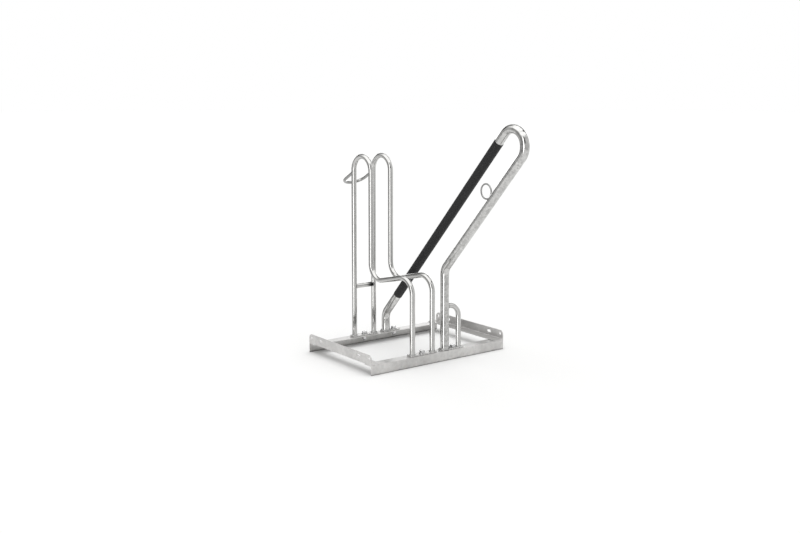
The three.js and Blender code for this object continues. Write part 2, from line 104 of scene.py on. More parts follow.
# ------------------------------------------------------------------ mesh helpers
def to_object(name, bm, angle=32.0, scale=True):
    """Turns layout millimetres into a mesh object: smooth faces, sharp edges where two faces meet at more than the angle."""
    if scale:
        for v in bm.verts:
            v.co = place(v.co)
    bmesh.ops.recalc_face_normals(bm, faces=bm.faces[:])
    limit = math.radians(angle)
    for f in bm.faces:
        f.smooth = True
    for e in bm.edges:
        if len(e.link_faces) == 2 and e.calc_face_angle(0.0) > limit:
            e.smooth = False
    mesh = bpy.data.meshes.new(name)
    bm.to_mesh(mesh)
    bm.free()
    ob = bpy.data.objects.new(name, mesh)
    bpy.context.scene.collection.objects.link(ob)
    return ob


def settle(ob):
    """Replaces an object's mesh by its evaluated one and drops the modifiers."""
    dg = bpy.context.evaluated_depsgraph_get()
    dg.update()
    mesh = bpy.data.meshes.new_from_object(ob.evaluated_get(dg), preserve_all_data_layers=True, depsgraph=dg)
    old = ob.data
    ob.modifiers.clear()
    ob.data = mesh
    mesh.name = ob.name
    bpy.data.meshes.remove(old)
    return ob


def cut(ob, cutters):
    for c in cutters:
        m = ob.modifiers.new("cut", "BOOLEAN")
        m.operation, m.solver, m.object = "DIFFERENCE", "EXACT", c
    settle(ob)
    for c in cutters:
        me = c.data
        bpy.data.objects.remove(c)
        bpy.data.meshes.remove(me)
    return ob


def soften(ob, width, segments=3, angle=30.0):
    """Rounds the sharp edges by a small radius, as a zinc coat does, and keeps the flats flat."""
    m = ob.modifiers.new("edge", "BEVEL")
    m.width, m.segments, m.limit_method = width * MM, segments, "ANGLE"
    m.angle_limit = math.radians(angle)
    m.use_clamp_overlap = True
    m.miter_outer = "MITER_ARC"
    settle(ob)
    for p in ob.data.polygons:
        p.use_smooth = True
    w = ob.modifiers.new("normals", "WEIGHTED_NORMAL")
    w.mode, w.weight, w.keep_sharp = "FACE_AREA", 60, False
    settle(ob)
    return ob


def fill_outline(points, to3d, depth_vec):
    """A prism over a closed 2-D outline."""
    bm = bmesh.new()
    low = [bm.verts.new(to3d(p)) for p in points]
    face = bm.faces.new(low)
    ext = bmesh.ops.extrude_face_region(bm, geom=[face])
    bmesh.ops.translate(bm, verts=[g for g in ext["geom"] if isinstance(g, bmesh.types.BMVert)], vec=depth_vec)
    return bm


def arc(cx, cy, r, a0, a1, n):
    return [(cx + r * math.cos(math.radians(a0 + (a1 - a0) * i / n)), cy + r * math.sin(math.radians(a0 + (a1 - a0) * i / n))) for i in range(n + 1)]


def rod_between(name, a, b, r, n=48):
    a, b = Vector(a), Vector(b)
    t = (b - a).normalized()
    u = t.orthogonal().normalized()
    w = t.cross(u)
    bm = bmesh.new()
    rings = [[bm.verts.new(p + u * r * math.cos(2 * math.pi * i / n) + w * r * math.sin(2 * math.pi * i / n)) for i in range(n)] for p in (a, b)]
    for i in range(n):
        bm.faces.new((rings[0][i], rings[0][(i + 1) % n], rings[1][(i + 1) % n], rings[1][i]))
    bm.faces.new(rings[0][::-1])
    bm.faces.new(rings[1])
    return to_object(name, bm)


def stadium(name, x0, x1, yc, zc, length, width):
    """A slot cutter that runs along X."""
    h = length / 2 - width / 2
    pts = arc(yc + h, zc, width / 2, -90, 90, 20) + arc(yc - h, zc, width / 2, 90, 270, 20)
    return to_object(name, fill_outline(pts, lambda p: (x0, p[0], p[1]), Vector((x1 - x0, 0, 0))))


def stations(points, radii, step=2.5, straight=30.0):
    """Points and tangents along straight stretches joined by circular bends."""
    pts = [Vector(p) for p in points]
    out = []

    def add(p, t):
        if not out or (out[-1][0] - p).length > 0.05:
            out.append((p.copy(), t.copy()))

    def run(a, b):
        d = (b - a)
        if d.length < 0.05:
            return
        n = max(1, int(d.length / straight))
        for i in range(n + 1):
            add(a + d * (i / n), d.normalized())

    last = pts[0]
    for i in range(1, len(pts) - 1):
        d0, d1 = (pts[i] - pts[i - 1]).normalized(), (pts[i + 1] - pts[i]).normalized()
        angle = d0.angle(d1)
        r = radii[i - 1]
        cut_back = r * math.tan(angle / 2)
        a = pts[i] - d0 * cut_back
        run(last, a)
        inward = (d1 - d0 * d0.dot(d1)).normalized()
        centre = a + inward * r
        n = max(2, int(math.degrees(angle) / step))
        for k in range(1, n + 1):
            w = angle * k / n
            add(centre - inward * r * math.cos(w) + d0 * r * math.sin(w), d0 * math.cos(w) + inward * math.sin(w))
        last = pts[i] + d1 * cut_back
    run(last, pts[-1])
    return out


def meet(point, direction, base, axis, radius):
    """How far along direction the point first touches the cylinder, or None."""
    base, axis = Vector(base), Vector(axis).normalized()
    q = point - base
    q = q - axis * q.dot(axis)
    d = direction - axis * direction.dot(axis)
    a, b, c = d.dot(d), 2 * q.dot(d), q.dot(q) - radius * radius
    disc = b * b - 4 * a * c
    if a < 1e-9 or disc < 0:
        return None
    return (-b - math.sqrt(disc)) / (2 * a)


def sweep(name, route, normal, radius, wall=0.0, sides=64, cope_start=None, cope_end=None, lip=0.35):
    """A round tube or bar along a flat route. cope_start and cope_end are (base, axis, radius) of the tube it is fitted to."""
    n = Vector(normal).normalized()
    bm = bmesh.new()
    count = len(route)

    def ring(p, t, r, k=None):
        b = t.cross(n)
        pts = [p + (n * math.cos(2 * math.pi * i / sides) + b * math.sin(2 * math.pi * i / sides)) * r for i in range(sides)]
        cope = cope_start if k == 0 else cope_end if k == count - 1 else None
        if cope:
            d = t if k == count - 1 else -t
            back = 60.0
            pts = [q - d * back + d * min(meet(q - d * back, d, cope[0], cope[1], cope[2]) or back, back * 2) for q in pts]
        return [bm.verts.new(q) for q in pts]

    def skin(rings):
        for a, b in zip(rings, rings[1:]):
            for i in range(sides):
                j = (i + 1) % sides
                bm.faces.new((a[i], a[j], b[j], b[i]))

    outer = [ring(p, t, radius, k) for k, (p, t) in enumerate(route)]
    skin(outer)
    if wall:
        inner = [ring(p, t, radius - wall, k) for k, (p, t) in enumerate(route)]
        skin(inner)
        for a, b in ((outer[0], inner[0]), (outer[-1], inner[-1])):
            for i in range(sides):
                j = (i + 1) % sides
                bm.faces.new((a[i], a[j], b[j], b[i]))
    else:
        bm.faces.new(outer[0][::-1])
        bm.faces.new(outer[-1])
    return to_object(name, bm, 40)


def lathe(name, profile, base=(0, 0, 0), axis=(0, 0, 1), sides=96, closed=True, angle=32.0, ring_shape=None):
    """Turns a profile of (radius, height) round an axis. ring_shape(theta, r, h) may change the radius and the height."""
    t = Vector(axis).normalized()
    u = Vector((1, 0, 0)) if abs(t.x) < 0.9 else Vector((0, 1, 0))
    u = (u - t * u.dot(t)).normalized()
    w = t.cross(u)
    base = Vector(base)
    bm = bmesh.new()
    rings = []
    for r, h in profile:
        if r < 1e-6:
            rings.append([bm.verts.new(base + t * h)])
            continue
        row = []
        for i in range(sides):
            a = 2 * math.pi * i / sides
            rr, hh = ring_shape(a, r, h) if ring_shape else (r, h)
            row.append(bm.verts.new(base + t * hh + (u * math.cos(a) + w * math.sin(a)) * rr))
        rings.append(row)
    pairs = list(zip(rings, rings[1:])) + ([(rings[-1], rings[0])] if closed else [])
    for a, b in pairs:
        for i in range(sides):
            j = (i + 1) % sides
            if len(a) == 1 and len(b) == 1:
                continue
            if len(a) == 1:
                bm.faces.new((a[0], b[i], b[j]))
            elif len(b) == 1:
                bm.faces.new((a[i], a[j], b[0]))
            else:
                bm.faces.new((a[i], a[j], b[j], b[i]))
    return to_object(name, bm, angle)


def bead(name, path, size, closed=True, ripple=1.7, seed=0.0, across=9, taper=0.0):
    """A fillet weld. path is a list of (point, a, b): a and b run from the corner along the two surfaces that it joins."""
    bm = bmesh.new()
    rows, run = [], 0.0
    total = sum((path[(i + 1) % len(path)][0] - path[i][0]).length for i in range(len(path) - (0 if closed else 1)))
    waves = max(1, round(total / ripple))
    for i, (p, a, b) in enumerate(path):
        phase = (run / total) * waves
        wave = abs(math.sin(math.pi * phase))
        wobble = noise.noise(Vector((p.x * 0.11 + seed, p.y * 0.11, p.z * 0.11)))
        s = size * (0.90 + 0.10 * wave + 0.13 * wobble)
        if taper:
            edge = min(run, total - run) / taper
            s *= math.sin(min(1.0, max(0.0, edge)) * math.pi / 2) * 0.93 + 0.07
        row = [bm.verts.new(p - (a + b) * s * 0.18)]
        for k in range(across + 1):
            f = math.radians(90.0 * k / across)
            bulge = 0.80 + 0.20 * abs(math.cos(2 * f)) ** 1.5
            row.append(bm.verts.new(p + (a * math.cos(f) + b * math.sin(f)) * s * bulge))
        rows.append(row)
        if i + 1 < len(path) or closed:
            run += (path[(i + 1) % len(path)][0] - p).length
    m = len(rows[0])
    pairs = list(zip(rows, rows[1:])) + ([(rows[-1], rows[0])] if closed else [])
    for r0, r1 in pairs:
        for k in range(m):
            bm.faces.new((r0[k], r0[(k + 1) % m], r1[(k + 1) % m], r1[k]))
    if not closed:
        bm.faces.new(rows[0][::-1])
        bm.faces.new(rows[-1])
    return to_object(name, bm, 75)


def foot_bead(name, x, y, r, size=3.0, seed=0.0, z=PLATE_HI):
    n = max(90, int(2 * math.pi * r / 0.45))
    path = []
    for i in range(n):
        a = 2 * math.pi * i / n
        d = Vector((math.cos(a), math.sin(a), 0))
        path.append((Vector((x, y, z)) + d * r, d, Vector((0, 0, 1))))
    return bead(name, path, size, seed=seed)


def branch_bead(name, centre, direction, r, base, axis, big_r, size=2.6, seed=0.0):
    """The weld round a bar that ends on a bigger tube. direction points from the bar towards the tube."""
    d = Vector(direction).normalized()
    u = d.orthogonal().normalized()
    w = d.cross(u)
    c, base, axis = Vector(centre), Vector(base), Vector(axis).normalized()
    n = max(80, int(2 * math.pi * r / 0.45))
    path = []
    for i in range(n):
        a = 2 * math.pi * i / n
        e = u * math.cos(a) + w * math.sin(a)
        q = c + e * r - d * 60
        s = meet(q, d, base, axis, big_r)
        p = q + d * s
        radial = p - base
        radial = (radial - axis * radial.dot(axis)).normalized()
        b = (e - radial * e.dot(radial)).normalized()
        path.append((p, -d, b))
    return bead(name, path, size, seed=seed, ripple=1.6)


# ------------------------------------------------------------------ materials
def node(tree, kind, x, y, **values):
    n = tree.nodes.new(kind)
    n.location = (x, y)
    for k, v in values.items():
        setattr(n, k, v)
    return n


def ramp(tree, x, y, low, high, a, b):
    n = node(tree, "ShaderNodeMapRange", x, y)
    n.inputs["From Min"].default_value, n.inputs["From Max"].default_value = low, high
    n.inputs["To Min"].default_value, n.inputs["To Max"].default_value = a, b
    return n


def galvanised(name, base, rough, metallic=1.0, spangle=105.0, contrast=0.10, bump=0.10, dull=0.10, vary=0.065, painted_shade_end=None, painted_ground_shade=None, worn=0.0):
    """Hot-dip zinc: irregular crystal patches that differ a little in brightness and gloss, cloudy dull areas, fine pits."""
    mat = bpy.data.materials.new(name)
    mat.use_nodes = True
    t = mat.node_tree
    t.nodes.clear()
    out = node(t, "ShaderNodeOutputMaterial", 1100, 0)
    bsdf = node(t, "ShaderNodeBsdfPrincipled", 800, 0)
    t.links.new(bsdf.outputs[0], out.inputs[0])
    bsdf.inputs["Metallic"].default_value = metallic
    co = node(t, "ShaderNodeTexCoord", -1500, 0)
    # the crystals' outlines are bent by noise
    warp = node(t, "ShaderNodeTexNoise", -1300, -250)
    warp.inputs["Scale"].default_value, warp.inputs["Detail"].default_value = 55.0, 3.0
    t.links.new(co.outputs["Object"], warp.inputs["Vector"])
    spread = node(t, "ShaderNodeVectorMath", -1100, -250, operation="SCALE")
    spread.inputs["Scale"].default_value = 0.009
    t.links.new(warp.outputs["Color"], spread.inputs[0])
    moved = node(t, "ShaderNodeVectorMath", -950, -100, operation="ADD")
    t.links.new(co.outputs["Object"], moved.inputs[0])
    t.links.new(spread.outputs[0], moved.inputs[1])
    cells = node(t, "ShaderNodeTexVoronoi", -780, 0, feature="F1")
    cells.inputs["Scale"].default_value = spangle
    t.links.new(moved.outputs[0], cells.inputs["Vector"])
    small = node(t, "ShaderNodeTexVoronoi", -780, -300, feature="F1")
    small.inputs["Scale"].default_value = spangle * 2.7
    t.links.new(moved.outputs[0], small.inputs["Vector"])
    pick = node(t, "ShaderNodeSeparateColor", -600, 0)
    t.links.new(cells.outputs["Color"], pick.inputs[0])
    pick2 = node(t, "ShaderNodeSeparateColor", -600, -300)
    t.links.new(small.outputs["Color"], pick2.inputs[0])
    both = node(t, "ShaderNodeMix", -430, -100)
    both.data_type = "FLOAT"
    both.inputs[0].default_value = 0.35
    t.links.new(pick.outputs[0], both.inputs[2])
    t.links.new(pick2.outputs[1], both.inputs[3])
    cloud = node(t, "ShaderNodeTexNoise", -780, 300)
    cloud.inputs["Scale"].default_value, cloud.inputs["Detail"].default_value, cloud.inputs["Roughness"].default_value = 9.0, 6.0, 0.6
    t.links.new(co.outputs["Object"], cloud.inputs["Vector"])
    pits = node(t, "ShaderNodeTexNoise", -780, -600)
    pits.inputs["Scale"].default_value, pits.inputs["Detail"].default_value, pits.inputs["Roughness"].default_value = 620.0, 5.0, 0.65
    t.links.new(co.outputs["Object"], pits.inputs["Vector"])

    tone = ramp(t, -200, 50, 0.0, 1.0, 1.0 - contrast, 1.0 + contrast)
    t.links.new(both.outputs[0], tone.inputs[0])
    haze = ramp(t, -200, 300, 0.30, 0.70, 1.0 - dull * 0.7, 1.0 + dull * 0.7)
    t.links.new(cloud.outputs[0], haze.inputs[0])
    mult = node(t, "ShaderNodeMath", 0, 150, operation="MULTIPLY")
    t.links.new(tone.outputs[0], mult.inputs[0])
    t.links.new(haze.outputs[0], mult.inputs[1])
    level = mult.outputs[0]
    if painted_ground_shade:
        # painted shade: the colour is darkest at the edge that stands on the ground and lightens upwards, standing in
        # for the contact shadow there; its upper limit made uneven by noise
        z_lo, z_hi, dark = painted_ground_shade
        sep = node(t, "ShaderNodeSeparateXYZ", -400, 550)
        t.links.new(co.outputs["Object"], sep.inputs[0])
        uneven = node(t, "ShaderNodeMath", -200, 550, operation="MULTIPLY_ADD")
        uneven.inputs[1].default_value = 0.006
        t.links.new(warp.outputs[0], uneven.inputs[0])
        t.links.new(sep.outputs[2], uneven.inputs[2])
        rise_up = ramp(t, 0, 550, z_lo * MM + 0.003, z_hi * MM + 0.003, dark, 1.0)
        rise_up.interpolation_type = "SMOOTHSTEP"
        t.links.new(uneven.outputs[0], rise_up.inputs[0])
        down = node(t, "ShaderNodeMath", 200, 450, operation="MULTIPLY")
        t.links.new(level, down.inputs[0])
        t.links.new(rise_up.outputs[0], down.inputs[1])
        level = down.outputs[0]
    edge = None
    if worn:
        # rubbed edges: where the rounded normal leaves the surface's own normal, broken up by the clouds
        rounded = node(t, "ShaderNodeBevel", -700, 800)
        rounded.samples = 4
        rounded.inputs[0].default_value = 0.0011
        own = node(t, "ShaderNodeNewGeometry", -700, 950)
        same = node(t, "ShaderNodeVectorMath", -500, 850, operation="DOT_PRODUCT")
        t.links.new(rounded.outputs[0], same.inputs[0])
        t.links.new(own.outputs["Normal"], same.inputs[1])
        away = ramp(t, -300, 850, 0.80, 0.99, 1.0, 0.0)
        t.links.new(same.outputs["Value"], away.inputs[0])
        patchy = ramp(t, -300, 1050, 0.35, 0.60, 0.25, 1.0)
        t.links.new(cloud.outputs[0], patchy.inputs[0])
        edge = node(t, "ShaderNodeMath", -100, 900, operation="MULTIPLY")
        t.links.new(away.outputs[0], edge.inputs[0])
        t.links.new(patchy.outputs[0], edge.inputs[1])
        lift = node(t, "ShaderNodeMath", 50, 800, operation="MULTIPLY_ADD")
        lift.inputs[1].default_value, lift.inputs[2].default_value = worn, 1.0
        t.links.new(edge.outputs[0], lift.inputs[0])
        up = node(t, "ShaderNodeMath", 220, 650, operation="MULTIPLY")
        t.links.new(level, up.inputs[0])
        t.links.new(lift.outputs[0], up.inputs[1])
        level = up.outputs[0]
    colour = node(t, "ShaderNodeVectorMath", 250, 150, operation="SCALE")
    colour.inputs[0].default_value = base
    t.links.new(level, colour.inputs["Scale"])
    last = colour.outputs[0]
    if painted_shade_end:
        # painted shade: the colour darkens along X to near black at the end that meets the right leg, standing in for
        # the leg's shade and dark reflection there
        lo, hi, tint = painted_shade_end
        sep = node(t, "ShaderNodeSeparateXYZ", 0, -250)
        t.links.new(co.outputs["Object"], sep.inputs[0])
        grad = ramp(t, 200, -250, lo * MM, hi * MM, 0.0, 1.0)
        grad.interpolation_type = "SMOOTHERSTEP"
        t.links.new(sep.outputs[0], grad.inputs[0])
        mixer = node(t, "ShaderNodeMix", 450, 50)
        mixer.data_type = "RGBA"
        mixer.inputs[7].default_value = (*tint, 1.0)
        t.links.new(grad.outputs[0], mixer.inputs[0])
        t.links.new(last, mixer.inputs[6])
        last = mixer.outputs[2]
    t.links.new(last, bsdf.inputs["Base Color"])
    gloss = ramp(t, 250, -80, 0.0, 1.0, rough - vary, rough + vary)
    t.links.new(both.outputs[0], gloss.inputs[0])
    gloss2 = node(t, "ShaderNodeMath", 450, -120, operation="MULTIPLY_ADD")
    gloss2.inputs[1].default_value = vary * 2.4
    t.links.new(cloud.outputs[0], gloss2.inputs[0])
    shift = node(t, "ShaderNodeMath", 330, -260, operation="SUBTRACT")
    shift.inputs[1].default_value = vary * 1.2
    t.links.new(gloss.outputs[0], shift.inputs[0])
    t.links.new(shift.outputs[0], gloss2.inputs[2])
    last_gloss = gloss2.outputs[0]
    if edge:
        polished = node(t, "ShaderNodeMath", 620, -160, operation="MULTIPLY_ADD")
        polished.inputs[1].default_value = -0.10
        t.links.new(edge.outputs[0], polished.inputs[0])
        t.links.new(last_gloss, polished.inputs[2])
        last_gloss = polished.outputs[0]
    t.links.new(last_gloss, bsdf.inputs["Roughness"])

    relief = node(t, "ShaderNodeMath", 0, -500, operation="MULTIPLY_ADD")
    relief.inputs[1].default_value = 0.35
    t.links.new(both.outputs[0], relief.inputs[0])
    t.links.new(pits.outputs[0], relief.inputs[2])
    b = node(t, "ShaderNodeBump", 500, -450)
    b.inputs["Strength"].default_value = bump
    b.inputs["Distance"].default_value = 0.0005
    t.links.new(relief.outputs[0], b.inputs["Height"])
    t.links.new(b.outputs[0], bsdf.inputs["Normal"])
    return mat


def plastic(name):
    """Charcoal-black extruded plastic: matte, with faint lengthwise draw lines, a fine grain and a few pale rub marks."""
    mat = bpy.data.materials.new(name)
    mat.use_nodes = True
    t = mat.node_tree
    t.nodes.clear()
    out = node(t, "ShaderNodeOutputMaterial", 1100, 0)
    bsdf = node(t, "ShaderNodeBsdfPrincipled", 800, 0)
    t.links.new(bsdf.outputs[0], out.inputs[0])
    co = node(t, "ShaderNodeTexCoord", -1300, 0)
    turn = node(t, "ShaderNodeMapping", -1100, 0)
    turn.inputs["Rotation"].default_value = (math.atan2(1.0, LEAN_SLOPE), 0.0, 0.0)
    t.links.new(co.outputs["Object"], turn.inputs[0])
    stretch = node(t, "ShaderNodeVectorMath", -900, 0, operation="MULTIPLY")
    stretch.inputs[1].default_value = (1.0, 1.0, 0.015)
    t.links.new(turn.outputs[0], stretch.inputs[0])
    lines = node(t, "ShaderNodeTexNoise", -700, 0)
    lines.inputs["Scale"].default_value, lines.inputs["Detail"].default_value = 900.0, 3.0
    t.links.new(stretch.outputs[0], lines.inputs["Vector"])
    grain = node(t, "ShaderNodeTexNoise", -700, -300)
    grain.inputs["Scale"].default_value, grain.inputs["Detail"].default_value = 1500.0, 4.0
    t.links.new(co.outputs["Object"], grain.inputs["Vector"])
    rub = node(t, "ShaderNodeTexNoise", -700, 300)
    rub.inputs["Scale"].default_value, rub.inputs["Detail"].default_value, rub.inputs["Roughness"].default_value = 22.0, 8.0, 0.7
    t.links.new(co.outputs["Object"], rub.inputs["Vector"])
    amount = ramp(t, -450, 300, 0.56, 0.74, 0.0, 1.0)
    t.links.new(rub.outputs[0], amount.inputs[0])
    mix = node(t, "ShaderNodeMix", -150, 200)
    mix.data_type = "RGBA"
    mix.inputs[6].default_value = (0.0130, 0.0130, 0.0135, 1)
    mix.inputs[7].default_value = (0.024, 0.024, 0.025, 1)
    t.links.new(amount.outputs[0], mix.inputs[0])
    t.links.new(mix.outputs[2], bsdf.inputs["Base Color"])
    rough = ramp(t, -150, -50, 0.0, 1.0, 0.52, 0.70)
    t.links.new(rub.outputs[0], rough.inputs[0])
    t.links.new(rough.outputs[0], bsdf.inputs["Roughness"])
    bsdf.inputs["Specular IOR Level"].default_value = 0.28
    summed = node(t, "ShaderNodeMath", -250, -300, operation="MULTIPLY_ADD")
    summed.inputs[1].default_value = 1.4
    t.links.new(lines.outputs[0], summed.inputs[0])
    t.links.new(grain.outputs[0], summed.inputs[2])
    b = node(t, "ShaderNodeBump", 300, -300)
    b.inputs["Strength"].default_value, b.inputs["Distance"].default_value = 0.16, 0.0003
    t.links.new(summed.outputs[0], b.inputs["Height"])
    t.links.new(b.outputs[0], bsdf.inputs["Normal"])
    return mat


# the sheet's colour darkens over its lowest few millimetres: painted shade where the rails meet the floor
STEEL = galvanised("zinc_sheet", (0.519, 0.512, 0.502), 0.32, metallic=0.55, spangle=95.0, contrast=0.09, dull=0.22, bump=0.010, vary=0.03,
                   painted_ground_shade=(0.5, 6.0, 0.42), worn=0.30)
PLATE = galvanised("zinc_plate", (0.50, 0.495, 0.487), 0.27, metallic=0.7, spangle=130.0, contrast=0.12, dull=0.20, bump=0.02, vary=0.03, worn=0.35)
TUBE = galvanised("zinc_tube", (0.455, 0.453, 0.444), 0.105, spangle=120.0, contrast=0.07, dull=0.10, bump=0.0015, vary=0.006)
LEAN = galvanised("zinc_wide_tube", (0.446, 0.444, 0.435), 0.125, spangle=120.0, contrast=0.25, dull=0.12, bump=0.003, vary=0.010)
THIN = galvanised("zinc_round_bar", (0.275, 0.275, 0.27), 0.16, spangle=160.0, contrast=0.09, dull=0.10, bump=0.004, vary=0.010)
# the stop bar's colour darkens to near black at its right end: painted shade where it meets the right leg
BAR = galvanised("zinc_bar_painted_shade", (0.455, 0.453, 0.444), 0.12, spangle=120.0, contrast=0.08, dull=0.10, bump=0.002, vary=0.006,
                 painted_shade_end=(-74.0, -36.0, (0.020, 0.020, 0.020)))
WELD = galvanised("zinc_weld", (0.27, 0.27, 0.266), 0.30, spangle=260.0, contrast=0.16, dull=0.18, bump=0.20)
BOLT = galvanised("zinc_bolt", (0.52, 0.52, 0.52), 0.17, spangle=420.0, contrast=0.10, dull=0.14, bump=0.05, worn=0.25)
BLACK = plastic("sleeve_plastic")


def finish(ob, material, nodes=()):
    ob.data.materials.clear()
    ob.data.materials.append(material)
    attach(ob, "root")
    if nodes:
        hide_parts(*nodes)
    return ob


# ------------------------------------------------------------------ base frame
def angle_outline(flat_on_top):
    """Section of the angle: u runs inwards from the outside face, v up. The corner is at the top or at the bottom."""
    h, w, t, c, root, toe = ANGLE_H, ANGLE_W, SHEET, CORNER_R, ROOT_R, TOE_R
    pts = arc(toe, toe, toe, 180, 270, 6) + arc(t - toe, toe, toe, 270, 360, 6)
    pts += arc(t + root, h - t - root, root, 180, 90, 8)
    pts += arc(w - toe, h - t + toe, toe, 270, 360, 6) + arc(w - toe, h - toe, toe, 0, 90, 6)
    pts += arc(c, h - c, c, 90, 180, 5)
    if not flat_on_top:
        pts = [(u, h - v) for u, v in pts][::-1]
    return pts


def rail(name, front):
    y, sign = (Y0, 1) if front else (Y1, -1)
    bm = fill_outline(angle_outline(True), lambda p: (X0, y + sign * p[0], p[1]), Vector((FRAME_L, 0, 0)))
    ob = to_object(name, bm)
    yb = Y0 + BOLT_IN if front else Y1 - BOLT_IN
    cut(ob, [rod_between("hole_%d" % i, (x, yb, RAIL_TOP - 12), (x, yb, RAIL_TOP + 8), BOLT_HOLE_R) for i, x in enumerate((HOLDER_BOLT_X, LEAN_BOLT_X))])
    return soften(ob, 0.45)


def end_bar(name, left):
    x, sign = (X0, 1) if left else (X1, -1)
    z0 = RAIL_TOP + 0.1
    bm = fill_outline(angle_outline(False), lambda p: (x + sign * p[0], Y0, z0 + p[1]), Vector((0, FRAME_D, 0)))
    ob = to_object(name, bm)
    cutters = []
    # rounded upper corners of the upright leg
    for k, (yc, s) in enumerate(((Y0, 1), (Y1, -1))):
        r = BAR_CORNER
        top = z0 + ANGLE_H
        pts = [(yc + s * r, top)]
        for i in range(1, 16):
            a = math.radians(90.0 * i / 16)
            pts.append((yc + s * (r - r * math.sin(a)), top - r + r * math.cos(a)))
        pts += [(yc, top - r), (yc - s * 6, top - r), (yc - s * 6, top + 6), (yc + s * r, top + 6)]
        cutters.append(to_object("corner_%d" % k, fill_outline(pts, lambda p: (x - sign * 5, p[0], p[1]), Vector((sign * (ANGLE_W + 12), 0, 0)))))
    zc = z0 + JOIN_Z
    xa, xb = (x - 6, x + SHEET + 4) if left else (x - SHEET - 4, x + 6)
    for k, yc in enumerate((Y0 + SLOT_END, Y1 - SLOT_END)):
        cutters.append(stadium("slot_%d" % k, xa, xb, yc, zc, SLOT_L, SLOT_W))
    for k, yc in enumerate((Y0 + TIP_END, Y1 - TIP_END)):
        cutters.append(rod_between("tip_%d" % k, (xa, yc, zc + 2), (xb, yc, zc + 2), TIP_HOLE / 2))
    cut(ob, cutters)
    return soften(ob, 0.45)


finish(rail("front_rail_angle", True), STEEL, ["front_rail"])
finish(rail("rear_rail_angle", False), STEEL, ["rear_rail"])
finish(end_bar("left_end_bar_angle", True), STEEL, ["left_end_bar"])
finish(end_bar("right_end_bar_angle", False), STEEL, ["right_end_bar"])

# fillet welds where an end bar crosses a rail: along the edge of its flat leg
k = 0
for side, x in ((1, X0 + ANGLE_W), (-1, X1 - ANGLE_W)):
    for ya, yb in ((Y0 + 8.0, Y0 + ANGLE_W - 1.5), (Y1 - ANGLE_W + 1.5, Y1 - 8.0)):
        n = 70
        path = [(Vector((x, ya + (yb - ya) * i / n, RAIL_TOP)), Vector((side, 0, 0)), Vector((0, 0, 1))) for i in range(n + 1)]
        finish(bead("corner_weld_%d" % k, path, 2.7, closed=False, taper=3.0, seed=3.1 * k), WELD)
        k += 1

# ------------------------------------------------------------------ wheel holder
def saddle(y):
    return SADDLE_Z0 - SADDLE_RISE * y


top_r = (REAR_Y - FRONT_TOP_Y) / 2 - 0.0005
for tag, x in zip(("left", "right"), HOOP_X):
    route = stations([(x, REAR_Y, FOOT_Z), (x, REAR_Y, HOOP_TOP), (x, FRONT_TOP_Y, HOOP_TOP), (x, FRONT_TOP_Y, saddle(FRONT_TOP_Y)),
                      (x, FRONT_Y, saddle(FRONT_Y)), (x, FRONT_Y, FOOT_Z)], [top_r, top_r, HOOP_BEND, HOOP_BEND])
    finish(sweep("wheel_hoop_%s_tube" % tag, route, (1, 0, 0), TUBE_R, TUBE_WALL, 56), TUBE, ["wheel_hoop_" + tag])
    for part, y in (("front", FRONT_Y), ("rear", REAR_Y)):
        finish(foot_bead("hoop_%s_%s_weld" % (tag, part), x, y, TUBE_R, 2.9, seed=x + y), WELD)

route = stations([(HOOP_X[0] + 14, REAR_Y, STOP_Z), (HOOP_X[1] - 14, REAR_Y, STOP_Z)], [], straight=8.0)
left_leg = ((HOOP_X[0], REAR_Y, STOP_Z), (0, 0, 1), TUBE_R)
right_leg = ((HOOP_X[1], REAR_Y, STOP_Z), (0, 0, 1), TUBE_R)
finish(sweep("wheel_stop_bar_tube", route, (0, 0, 1), STOP_R, 2.0, 56, cope_start=left_leg, cope_end=right_leg), BAR, ["wheel_stop_bar"])
finish(branch_bead("stop_bar_left_weld", (HOOP_X[0] + 20, REAR_Y, STOP_Z), (-1, 0, 0), STOP_R, *left_leg, size=2.0, seed=1.0), WELD)
finish(branch_bead("stop_bar_right_weld", (HOOP_X[1] - 20, REAR_Y, STOP_Z), (1, 0, 0), STOP_R, *right_leg, size=2.0, seed=2.0), WELD)

back_y, back_z = REAR_Y + BOW_REACH, BOW_Z - BOW_DROP
bow_dir = Vector((0, BOW_REACH, -BOW_DROP)).normalized()
start = Vector((HOOP_X[0], REAR_Y, BOW_Z)) + bow_dir * 14
end = Vector((HOOP_X[1], REAR_Y, BOW_Z)) + bow_dir * 14
bow_r = (HOOP_X[1] - HOOP_X[0]) / 2 - 0.001
route = stations([start, (HOOP_X[0], back_y, back_z), (HOOP_X[1], back_y, back_z), end], [bow_r, bow_r], straight=8.0)
bow_normal = Vector((1, 0, 0)).cross(bow_dir)
left_bow = ((HOOP_X[0], REAR_Y, BOW_Z), (0, 0, 1), TUBE_R)
right_bow = ((HOOP_X[1], REAR_Y, BOW_Z), (0, 0, 1), TUBE_R)
finish(sweep("tie_bow_rod", route, bow_normal, BOW_R, 0.0, 40, cope_start=left_bow, cope_end=right_bow), THIN, ["tie_bow"])
finish(branch_bead("bow_left_weld", start, -bow_dir, BOW_R, *left_bow, size=1.8, seed=4.0), WELD)
finish(branch_bead("bow_right_weld", end, -bow_dir, BOW_R, *right_bow, size=1.8, seed=5.0), WELD)


